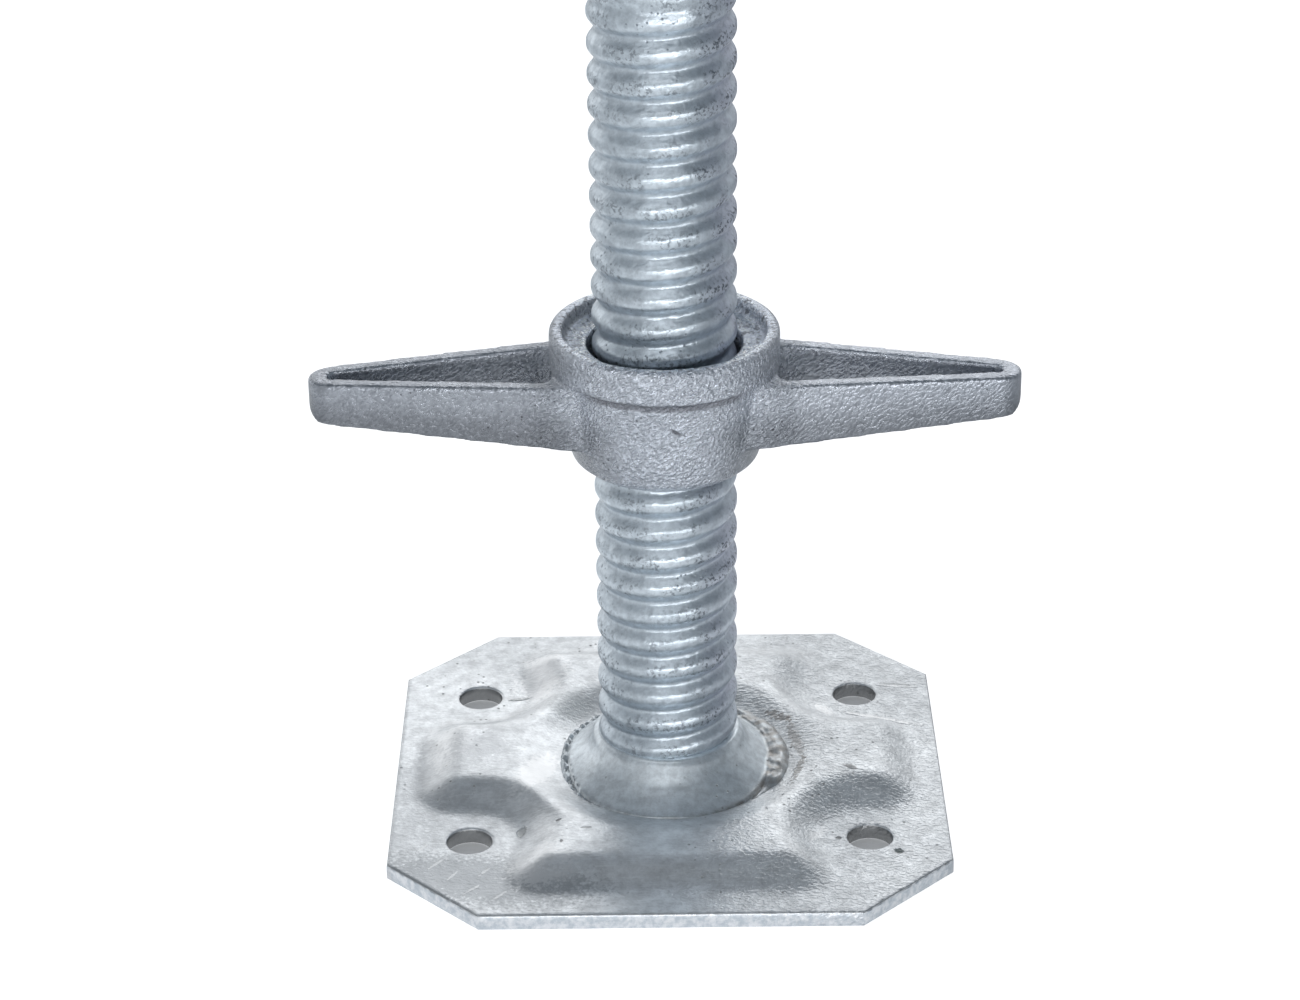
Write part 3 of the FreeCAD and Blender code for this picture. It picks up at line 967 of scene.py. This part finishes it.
@dataclass
class FootWeld:
    """The flared weld and its rough bead. Lengths in millimetres.

    Args:
        floor: height of the dish it stands on.
        buried: how far its hidden edge lies below that, as a height.
        inner: radius of its hidden inside.
        skirt: radius and height of the flare's stations.
        bead: radius and height of the bead's stations.
        lumps: each lump's middle and half width in degrees, and its weight.
        front_spread: how much further out the bead lies in front.
        crease: radius of the crease between flare and bead.
        around: points round the tube.
        between: points from one station to the next.
        rough: height of the bead's lumps.
    """

    floor: float = 7.5
    buried: float = -1.9
    inner: float = 17.4
    skirt: tuple[tuple[float, float], ...] = (
        (17.4, 10.0), (19.3, 9.8), (20.4, 8.6), (21.1, 6.9), (22.2, 5.0), (24.0, 3.3),
        (26.2, 1.8), (27.6, 0.8))
    bead: tuple[tuple[float, float], ...] = (
        (28.6, 0.8), (29.8, 1.0), (31.2, 0.7), (32.6, 0.0), (34.2, -1.9))
    lumps: tuple[tuple[float, float, float], ...] = (
        (12.0, 46.0, 1.0), (-28.0, 22.0, 0.7), (70.0, 34.0, 0.5), (145.0, 36.0, 0.7),
        (200.0, 30.0, 0.55))
    front_spread: float = 4.4
    crease: float = 27.8
    around: int = 260
    between: int = 3
    rough: float = 0.45

    def share(self, angle: float) -> float:
        """How much of the bead stands at one side of the tube.

        Args:
            angle: degrees round the tube from the right.

        Returns:
            The share, 0 to 1.
        """
        total = 0.08
        for middle, half, weight in self.lumps:
            off = abs((angle - middle + 180.0) % 360.0 - 180.0)
            total = max(total, weight * ease(2.0 - 1.4 * off / half))
        return total

    @staticmethod
    def grime_and_shade(t: Tree, where: Socket, colour: Socket) -> Socket:
        """Painted shade in the crease at the foot, a darker brown tone over the bead on the right,
        and dark specks on the left.

        Args:
            t: the material's tree.
            where: the places on the surface.
            colour: the colour so far.

        Returns:
            The colour with the dirt and the painted shade.
        """
        # painted shade in the crease, a darker brown tone on the right and dark specks on the left,
        # broken by noise
        broken = t.remap(t.noise(where, 420.0, detail=4.0), 0.3, 0.65, 0.35, 1.0)
        tone = t.mix(t.remap(t.split(where)[0], 0.0, 0.02), (0.15, 0.15, 0.14), (0.19, 0.145, 0.105))
        return t.mix(t.times(t.attribute("grime_and_shade"), broken, 0.9), colour, tone)

    def profile(self) -> Plan:
        """The weld's section.

        Returns:
            Radius and height of each point, from the tube outwards.
        """
        stations = self.skirt + self.bead
        line = [(self.inner, self.buried)]
        for (r0, h0), (r1, h1) in zip(stations, stations[1:]):
            line += [(r0 + (r1 - r0) * k / self.between, h0 + (h1 - h0) * k / self.between)
                     for k in range(self.between)]
        return line + [stations[-1]]

    def skin(self, angle: float, r: float, h: float) -> tuple[tuple[float, ...], float]:
        """A point of the uneven weld and its dirt and painted shade.

        Args:
            angle: radians round the tube from the right.
            r: radius on the profile.
            h: height on the profile.

        Returns:
            The point in metres and its share of dirt and painted shade.
        """
        cosine, sine = math.cos(angle), math.sin(angle)
        x, y = cosine * r, sine * r
        # where round the tube this is, and whether it is on the bead
        side = self.share(math.degrees(angle))
        ahead = ease((-sine - 0.1) / 0.9)
        left = ease(-cosine * 1.6 - 0.3)
        on_bead = ease((r - 26.8) / 1.6) * ease((34.2 - r) / 1.8)
        rough = (ripple(x, y, 9.0, 0.4) + 0.7 * ripple(x, y, 4.0, 0.9)
                 + 0.3 * ripple(x, y, 7.0, 1.9)) * self.rough
        crumbs = ripple(x, y, 5.0, 1.3)
        # the bead spreads and sinks in front, and breaks into crumbs on the left
        out = r + self.front_spread * ahead * (clamp((r - 20.0) / 7.6) - clamp((r - 27.6) / 6.6))
        up = h + (0.5 + rough) * on_bead * side - 1.7 * ahead * ease((r - 21.0) / 6.6)
        up += left * (1.1 * crumbs * on_bead - 2.6 * ease((r - 29.2) / 1.4))
        if r > self.crease - 0.1:
            up -= (1.0 - side) * 3.0
        up += 0.3 * ripple(x, y, 2.0, 0.16) * ease((r - 19.0) / 2.0)
        # painted shade in the crease, stronger in front; a darker tone over the bead on the right;
        # dirt in specks on the left
        creased = ease(1.0 - abs(r - self.crease) / 1.3)
        creased *= (0.4 + 0.5 * ease(-sine * 1.4)) * (1.0 - 0.6 * side)
        right = ease(cosine) * ease((r - 26.5) / 2.0)
        specks = left * on_bead * clamp(0.4 - 2.2 * crumbs)
        height = self.floor + max(up, self.buried)
        dirt = clamp(0.7 * creased + 0.7 * right + 0.4 * specks)
        return (out * cosine * MM, out * sine * MM, height * MM), dirt

    def build(self, material: bpy.types.Material) -> bpy.types.Object:
        """Make the weld's mesh and dress it.

        Args:
            material: its finish.

        Returns:
            The weld.
        """
        line = self.profile()
        made = [self.skin(2 * math.pi * i / self.around, r, h)
                for i in range(self.around) for r, h in line]
        faces, n = [], len(line)
        for i in range(self.around):
            a, b = i * n, (i + 1) % self.around * n
            for k in range(n):
                m = (k + 1) % n
                faces.append((a + k, a + m, b + m, b + k))
        mesh = mesh_from("weld_collar", [point for point, dirt in made], faces)
        store(mesh, "grime_and_shade", [dirt for point, dirt in made])
        point_outwards(mesh)
        mesh.materials.append(material)
        return new_object("weld_collar", mesh)


# ---------------------------------------------------------------- spindle

@dataclass
class Spindle:
    """The rope-threaded tube, made by a node tree from its thread's rule. Millimetres.

    Args:
        crest: radius over the thread.
        depth: depth of its groove.
        pitch: rise of one turn.
        phase: height of a groove's middle at the thread's start angle.
        narrowness: above 1 the groove is narrower than its crest.
        wobble: how uneven the skin is.
        bottom: height of its foot.
        thread_top: height where the rolled thread ends.
        top: height of the tube's end.
        shank: radius over the plain part.
        bore: radius of the bore.
        chamfer: size of the broken edge at the top.
        around: points round the tube.
        rows: points along one turn.
        shank_rings: rings along the plain part.
        bore_rings: rings down the bore.
    """

    crest: float = 19.0
    depth: float = 1.85
    pitch: float = 8.25
    phase: float = 0.5
    narrowness: float = 1.5
    wobble: float = 0.22
    bottom: float = 7.5
    thread_top: float = 240.0
    top: float = 400.0
    shank: float = 18.8
    bore: float = 14.0
    chamfer: float = 1.0
    around: int = 128
    rows: float = 18.0
    shank_rings: int = 24
    bore_rings: int = 30

    @staticmethod
    def wear_and_groove_shade(t: Tree, where: Socket, colour: Socket) -> Socket:
        """Clusters of dark grit, painted shade in the groove, and a violet tint on the right.

        Args:
            t: the material's tree.
            where: the places on the surface.
            colour: the colour so far.

        Returns:
            The colour with the wear and the painted shade in the groove.
        """
        side = t.split(where)[0]
        grit = t.noise(where, 1000.0, detail=4.0, roughness=0.65)
        patch = t.noise(where, 75.0)
        groove = t.attribute("groove")
        # painted shade: the groove darkened
        colour = t.mix(t.times(groove, 0.25), colour, (0.36, 0.41, 0.46))
        violet = t.times(t.remap(side, 0.006, 0.017), t.remap(patch, 0.4, 0.6, 0.15, 0.5))
        colour = t.mix(violet, colour, (0.60, 0.61, 0.74))
        share = t.math("ADD", t.times(t.remap(side, 0.004, 0.015), 0.3), 0.62)
        spots = t.times(t.remap(grit, 0.52, 0.58), t.remap(patch, 0.42, 0.58), share)
        crest = t.remap(groove, 0.1, 0.6, 1.0, 0.25)
        return t.mix(t.times(spots, crest), colour, (0.13, 0.15, 0.18))

    def start(self) -> bpy.types.NodeTree:
        """Begin the node tree.

        Returns:
            The empty tree with its named inputs and its output.
        """
        tree = bpy.data.node_groups.new("rope_thread", "GeometryNodeTree")
        values = {"Pitch": self.pitch * MM, "Crest Radius": self.crest * MM,
                  "Depth": self.depth * MM, "Phase": self.phase * MM,
                  "Bottom": self.bottom * MM, "Thread Top": self.thread_top * MM,
                  "Narrowness": self.narrowness, "Wobble": self.wobble * MM}
        for name, value in values.items():
            socket = tree.interface.new_socket(name, in_out="INPUT", socket_type="NodeSocketFloat")
            socket.default_value = value
        for name in ("Columns", "Rows"):
            tree.interface.new_socket(name, in_out="INPUT", socket_type="NodeSocketInt")
        tree.interface.new_socket("Geometry", in_out="OUTPUT", socket_type="NodeSocketGeometry")
        return tree

    @staticmethod
    def around_axis(t: Tree, angle: Socket, radius: Socket, height: Socket) -> Socket:
        """A place round the axis.

        Args:
            t: the tree.
            angle: its angle in radians.
            radius: its distance from the axis.
            height: its height.

        Returns:
            The place as a vector.
        """
        across = t.times(radius, t.math("COSINE", angle))
        deep = t.times(radius, t.math("SINE", angle))
        return t.add("ShaderNodeCombineXYZ", {0: across, 1: deep, 2: height}).outputs[0]

    def tree(self, material: bpy.types.Material) -> bpy.types.NodeTree:
        """The node tree that wraps a grid round the axis and presses the thread into it.

        Args:
            material: the tube's finish.

        Returns:
            The tree.
        """
        t = Tree(self.start())
        into = t.add("NodeGroupInput").outputs
        crest, pitch, turn = into["Crest Radius"], into["Pitch"], 2 * math.pi
        height = t.math("SUBTRACT", into["Thread Top"], into["Bottom"])
        grid = t.add("GeometryNodeMeshGrid", {"Size X": turn, "Size Y": height,
                                              "Vertices X": into["Columns"],
                                              "Vertices Y": into["Rows"]})
        place = t.split(t.add("GeometryNodeInputPosition").outputs[0])
        angle = t.math("ADD", place[0], math.pi)
        z = t.math("ADD", t.math("ADD", place[1], t.times(height, 0.5)), into["Bottom"])
        # how far along the helix, in turns, and how far from the groove's middle
        turns = t.math("SUBTRACT", t.math("DIVIDE", t.math("SUBTRACT", z, into["Phase"]), pitch),
                       t.math("DIVIDE", angle, turn))
        away = t.math("ABSOLUTE", t.math("SUBTRACT", turns, t.math("ROUND", turns)))
        swing = t.math("COSINE", t.times(away, turn))
        press = t.math("POWER", t.math("ADD", t.times(swing, 0.5), 0.5, clamped=True),
                       into["Narrowness"])
        fade_end = t.math("SUBTRACT", into["Thread Top"], pitch)
        press = t.times(press, t.fall(z, t.math("SUBTRACT", fade_end, pitch), fade_end))
        # the noise is read on the wrapped skin, so both sides of the seam get the same value
        uneven = t.noise(self.around_axis(t, angle, crest, z), 90.0, detail=3.0)
        wobble = t.times(t.math("SUBTRACT", uneven, 0.62), into["Wobble"])
        radius = t.math("ADD", t.math("SUBTRACT", crest, t.times(press, into["Depth"])),
                        t.math("MINIMUM", wobble, 0.0))
        hollow = t.add("GeometryNodeStoreNamedAttribute",
                       {"Geometry": grid.outputs[0], "Name": "groove", "Value": press},
                       data_type="FLOAT", domain="POINT")
        moved = t.add("GeometryNodeSetPosition",
                      {"Geometry": hollow.outputs[0],
                       "Position": self.around_axis(t, angle, radius, z)})
        joined = t.add("GeometryNodeMergeByDistance", {"Geometry": moved.outputs[0],
                                                       "Distance": 0.00001})
        real = t.add("GeometryNodeRealizeInstances", {"Geometry": joined.outputs[0]})
        dressed = t.add("GeometryNodeSetMaterial", {"Geometry": real.outputs[0],
                                                    "Material": material})
        t.add("NodeGroupOutput", {"Geometry": dressed.outputs[0]})
        return t.tree

    def build(self, material: bpy.types.Material) -> bpy.types.Object:
        """Make the threaded tube and dress it.

        Args:
            material: its finish.

        Returns:
            The tube.
        """
        tube = new_object("rope_threaded_tube", bpy.data.meshes.new("rope_threaded_tube"))
        modifier = tube.modifiers.new("thread", "NODES")
        modifier.node_group = self.tree(material)
        rows = round((self.thread_top - self.bottom) / self.pitch * self.rows) + 1
        counts = {"Columns": self.around + 1, "Rows": rows}
        for item in modifier.node_group.interface.items_tree:
            if item.name in counts:
                modifier[item.identifier] = counts[item.name]
        apply_modifiers(tube)
        self.close(tube.data)
        redress(tube.data, material)
        point_outwards(tube.data)
        tube.data.shade_smooth()
        return tube

    def stations(self) -> Plan:
        """The plain part of the tube's section.

        Returns:
            Radius and height of each ring from the end of the thread over the top to the foot.
        """
        c, lip = self.chamfer, 0.6
        low = self.top - lip
        length = self.top - c - self.thread_top
        rings = [(self.shank, self.thread_top + 0.05)]
        rings += [(self.shank, self.thread_top + length * (i + 1) / self.shank_rings)
                  for i in range(self.shank_rings)]
        rings += [(self.shank - 0.3 * c, self.top - 0.3 * c), (self.shank - c, self.top),
                  (self.bore + lip, self.top), (self.bore, low)]
        rings += [(self.bore, low - (low - self.bottom) * (i + 1) / self.bore_rings)
                  for i in range(self.bore_rings)]
        return rings

    def close(self, mesh: bpy.types.Mesh) -> None:
        """Add the shank, the top rim, the bore and the bottom ring to the threaded skin.

        Args:
            mesh: the threaded skin, open at both ends.
        """
        work = bmesh.new()
        work.from_mesh(mesh)
        rim = sorted((v for v in work.verts if v.is_boundary),
                     key=lambda v: math.atan2(v.co.y, v.co.x))
        foot = [v for v in rim if v.co.z < (self.bottom + 1.0) * MM]
        rings = [[v for v in rim if v.co.z > (self.thread_top - 1.0) * MM]]
        angles = [math.atan2(v.co.y, v.co.x) for v in rings[0]]
        for radius, z in self.stations():
            rings.append([work.verts.new((radius * MM * math.cos(a), radius * MM * math.sin(a),
                                          z * MM)) for a in angles])
        for first, second in zip(rings, rings[1:] + [foot]):
            for i, corner in enumerate(first):
                j = (i + 1) % len(first)
                work.faces.new((corner, first[j], second[j], second[i]))
        work.to_mesh(mesh)
        work.free()


# ---------------------------------------------------------------- nut

@dataclass
class CupNut:
    """The cast collar nut, softened from its plain solid. Lengths in millimetres.

    Args:
        voxel: size of the cells it is rebuilt from.
        smoothing: rounds of smoothing of its edges.
        step: height of the ring's underside on the body.
        crown: height of the cup's rim.
    """

    voxel: float = 0.62
    smoothing: int = 5
    step: float = 127.5
    crown: float = 137.0

    def painted_shading_and_pores(self, t: Tree, where: Socket, colour: Socket) -> Socket:
        """Painted shade on the handles, the lower body, the cup's inner wall and the bore, a painted
        shadow line under the ring, painted light on the cup, and dark pores.

        Args:
            t: the material's tree.
            where: the places on the surface.
            colour: the colour so far.

        Returns:
            The toned colour.
        """
        step, crown = self.step * MM, self.crown * MM
        x, y, z = t.split(where)
        aside = t.math("ABSOLUTE", x)
        around = t.math("SQRT", t.math("ADD", t.times(x, x), t.times(y, y)))
        # painted shade: the handles darker than the body, and darker still on the left
        handle = t.times(t.remap(aside, 0.019, 0.034, 1.0, 0.77),
                         t.remap(x, -0.035, -0.02, 0.82, 1.0))
        colour = t.scaled(colour, handle)
        # painted shade: the lower body darker towards its sides
        low = t.times(t.remap(aside, 0.009, 0.021), t.fall(z, step - 0.015, step - 0.005))
        colour = t.scaled(colour, t.remap(low, 0.0, 1.0, 1.0, 0.6, smooth=False))
        # painted shadow: a dark line under the ring's front
        line = t.times(t.band(z, step - 0.0009, 0.0008, 0.0019), t.fall(y, -0.024, -0.016), 0.62)
        colour = t.mix(line, colour, (0.15, 0.15, 0.17))
        # painted light: the cup's floor and rim paler
        in_cup = t.remap(z, crown - 0.009, crown - 0.007)
        cup = t.times(t.fall(around, 0.0285, 0.0295), in_cup)
        colour = t.scaled(colour, t.remap(cup, 0.0, 1.0, 1.0, 1.55))
        # painted shade: the cup's inner wall darker, more on the left
        wall = t.times(t.remap(around, 0.0255, 0.0262), t.fall(around, 0.0266, 0.0274),
                       t.remap(z, crown - 0.0046, crown - 0.0036),
                       t.remap(x, -0.02, 0.02, 0.6, 0.2))
        colour = t.mix(wall, colour, (0.24, 0.235, 0.235))
        # painted shade: the bore darkened
        colour = t.mix(t.remap(around, 0.0199, 0.0206, 0.8, 0.0), colour, (0.08, 0.085, 0.095))
        # dark pores in the cup's skin
        grit = t.noise(where, 650.0, detail=3.0, roughness=0.6)
        pores = t.times(t.remap(grit, 0.53, 0.61), in_cup, t.fall(around, 0.0290, 0.0297), 0.65)
        return t.mix(pores, colour, (0.08, 0.08, 0.09))

    def build(self, solid: bpy.types.Object, material: bpy.types.Material) -> bpy.types.Object:
        """Copy the plain solid, give it a casting's soft edges, and dress it.

        Args:
            solid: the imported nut.
            material: its finish.

        Returns:
            The nut.
        """
        mesh = solid.data.copy()
        work = bmesh.new()
        work.from_mesh(mesh)
        bmesh.ops.remove_doubles(work, verts=work.verts, dist=1e-6)
        work.to_mesh(mesh)
        work.free()
        nut = new_object("cast_cup_nut", mesh)
        remesh = nut.modifiers.new("skin", "REMESH")
        remesh.mode = "VOXEL"
        remesh.voxel_size = self.voxel * MM
        remesh.use_smooth_shade = True
        soften = nut.modifiers.new("soft edges", "SMOOTH")
        soften.iterations = self.smoothing
        soften.factor = 0.5
        apply_modifiers(nut)
        redress(nut.data, material)
        nut.data.shade_smooth()
        return nut


# ---------------------------------------------------------------- studio

@dataclass(frozen=True)
class Lamp:
    """A soft rectangular lamp aimed at the jack.

    Args:
        name: its name.
        azimuth: degrees round from the front, positive to the right.
        elevation: degrees above the ground.
        distance: metres from the jack.
        size: width and height in metres.
        power: watts.
    """

    name: str
    azimuth: float
    elevation: float
    distance: float
    size: tuple[float, float]
    power: float

    def place(self, target: Vector) -> None:
        """Put the lamp into the scene.

        Args:
            target: the place it is aimed at.
        """
        light = bpy.data.lights.new(self.name, "AREA")
        light.shape = "RECTANGLE"
        light.size, light.size_y = self.size
        light.energy = self.power
        a, e = math.radians(self.azimuth), math.radians(self.elevation)
        way = Vector((math.sin(a) * math.cos(e), -math.cos(a) * math.cos(e), math.sin(e)))
        lamp = new_object(self.name, light)
        lamp.location = target + way * self.distance
        lamp.rotation_euler = way.to_track_quat("Z", "Y").to_euler()


@dataclass
class Studio:
    """Pale floor, soft lamps, surroundings and camera.

    Args:
        floor_colour: the floor's colour.
        floor_size: half its width in metres.
        floor_glow: how strongly the floor shines towards the camera.
        hole_glow: the same under the plate, where it shows through the holes.
        mirror_glow: how strongly the floor shines in reflections.
        dim: colour of the dark surroundings.
        pale: colour of the pale surroundings.
        lamps: the lamps.
        target: the place the lamps are aimed at, in metres.
        eye: the camera's place in metres.
        aim: the camera's turn, tilt down and roll in degrees.
        lens: its focal length in millimetres.
        sensor: its sensor's width in millimetres.
    """

    floor_colour: Colour = (0.90, 0.90, 0.90)
    floor_size: float = 6.0
    floor_glow: float = 0.8
    hole_glow: float = 0.1
    mirror_glow: float = 0.55
    dim: Colour = (0.14, 0.165, 0.19)
    pale: Colour = (1.18, 1.19, 1.20)
    lamps: tuple[Lamp, ...] = (
        Lamp("back wall", 168.0, 33.0, 1.6, (1.4, 0.5), 3.6),
        Lamp("front strip", 7.0, 5.0, 1.1, (1.5, 0.2), 5.2),
        Lamp("over front", -12.0, 48.0, 1.2, (1.0, 0.4), 1.6),
    )
    target: tuple[float, float, float] = (0.0, 0.0, 0.11)
    eye: tuple[float, float, float] = (-0.0025, -0.8421, 0.5065)
    aim: tuple[float, float, float] = (-0.12, 26.51, -0.69)
    lens: float = 97.77
    sensor: float = 36.0

    def surroundings(self) -> None:
        """Pale low down behind, dark overhead and in front, darker on the right."""
        world = bpy.data.worlds.new("studio")
        bpy.context.scene.world = world
        world.use_nodes = True
        world.node_tree.nodes.clear()
        t = Tree(world.node_tree)
        x, y, z = t.split(t.add("ShaderNodeTexCoord").outputs["Generated"])
        back = t.times(t.remap(y, -0.1, 0.6), t.remap(x, 0.2, 0.6, 1.0, 0.4))
        left = t.remap(x, -0.8, 0.2, 0.45, 0.0)
        level = t.times(t.fall(z, 0.30, 0.62), t.math("MAXIMUM", back, left))
        level = t.math("MAXIMUM", level, t.remap(x, -0.7, 0.0, 0.12, 0.0))
        level = t.math("MAXIMUM", level, t.remap(z, 0.05, 0.5, 0.2, 0.0))
        seen = t.add("ShaderNodeLightPath").outputs["Is Camera Ray"]
        colour = t.mix(seen, t.mix(level, self.dim, self.pale), (1.0, 1.0, 1.0))
        shine = t.add("ShaderNodeBackground", {"Color": colour, "Strength": 1.0})
        t.add("ShaderNodeOutputWorld", {"Surface": shine.outputs[0]})

    def floor(self) -> None:
        """A plain pale floor under the jack, glowing a little where the jack mirrors it."""
        s = self.floor_size
        mesh = mesh_from("floor", [(-s, -s, 0), (s, -s, 0), (s, s, 0), (-s, s, 0)], [(0, 1, 2, 3)])
        made = bpy.data.materials.new("floor")
        made.use_nodes = True
        t = Tree(made.node_tree)
        path = t.add("ShaderNodeLightPath").outputs
        x, y, _ = t.split(t.add("ShaderNodeTexCoord").outputs["Object"])
        there = t.times(t.fall(x, 0.0, 0.22), t.remap(x, -0.35, -0.05, 0.45, 1.0),
                        t.remap(y, -0.4, -0.1, 0.5, 1.0), self.mirror_glow)
        mirrored = t.times(t.math("MAXIMUM", path["Is Glossy Ray"], path["Is Transmission Ray"]),
                           there)
        under = t.times(t.fall(t.math("ABSOLUTE", x), 0.061, 0.063),
                        t.fall(t.math("ABSOLUTE", y), 0.046, 0.048))
        seen = t.times(path["Is Camera Ray"],
                       t.remap(under, 0.0, 1.0, self.floor_glow, self.hole_glow))
        shader = made.node_tree.nodes["Principled BSDF"]
        for name, value in {"Base Color": (*self.floor_colour, 1.0), "Roughness": 0.9,
                            "Specular IOR Level": 0.1, "Emission Color": (1.0, 1.0, 1.0, 1.0),
                            "Emission Strength": t.math("ADD", seen, mirrored)}.items():
            t.put(shader.inputs[name], value)
        mesh.materials.append(made)
        new_object("floor", mesh)

    def camera(self) -> None:
        """The camera: above and in front, looking down at the jack."""
        yaw, pitch, roll = (math.radians(v) for v in self.aim)
        ahead = Vector((math.sin(yaw) * math.cos(pitch), math.cos(yaw) * math.cos(pitch),
                        -math.sin(pitch)))
        right = ahead.cross(Vector((0, 0, 1))).normalized()
        up = right.cross(ahead)
        right, up = (right * math.cos(roll) + up * math.sin(roll),
                     up * math.cos(roll) - right * math.sin(roll))
        lens = bpy.data.cameras.new("camera")
        lens.lens = self.lens
        lens.sensor_width = self.sensor
        rig = new_object("camera", lens)
        turn = Matrix((right, up, -ahead)).transposed().to_4x4()
        rig.matrix_world = Matrix.Translation(self.eye) @ turn
        bpy.context.scene.camera = rig

    def set_up(self) -> None:
        """Place everything and set the plain colour management."""
        self.surroundings()
        self.floor()
        for lamp in self.lamps:
            lamp.place(Vector(self.target))
        self.camera()
        bpy.context.scene.view_settings.view_transform = "Standard"


# ---------------------------------------------------------------- the jack

@dataclass
class BaseJack:
    """The whole jack: builds each piece and fits it to the frame."""

    effects: EffectLibrary = field(default_factory=EffectLibrary)

    def fit(self, piece: bpy.types.Object, body: str, node: str) -> None:
        """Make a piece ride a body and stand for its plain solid.

        Args:
            piece: the finished piece.
            body: the body it rides.
            node: the solid it stands for.
        """
        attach(piece, body)
        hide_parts(node)
        log.info("%s rides %s, %d faces", piece.name, body, len(piece.data.polygons))

    def build(self) -> None:
        """Build the pieces in order."""
        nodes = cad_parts
        plate = FootPlate().build(PLATE_ZINC.material(self.effects, FootPlate.cut_edges))
        self.fit(plate, "base", "base_plate")
        weld = FootWeld().build(WELD_ZINC.material(self.effects, FootWeld.grime_and_shade))
        self.fit(weld, "base", "foot_weld")
        tube = Spindle().build(SPINDLE_ZINC.material(self.effects, Spindle.wear_and_groove_shade))
        self.fit(tube, "base", "threaded_spindle")
        shape = CupNut()
        nut = shape.build(nodes["wing_nut"], CAST_ZINC.material(self.effects, shape.painted_shading_and_pores))
        self.fit(nut, "nut", "wing_nut")


def main() -> None:
    """Build the jack in its studio and note the sizes."""
    logging.basicConfig(level=logging.INFO, format="%(name)s: %(message)s")
    BaseJack().build()
    Studio().set_up()
    bpy.context.view_layer.update()


if __name__ == "__main__":
    main()
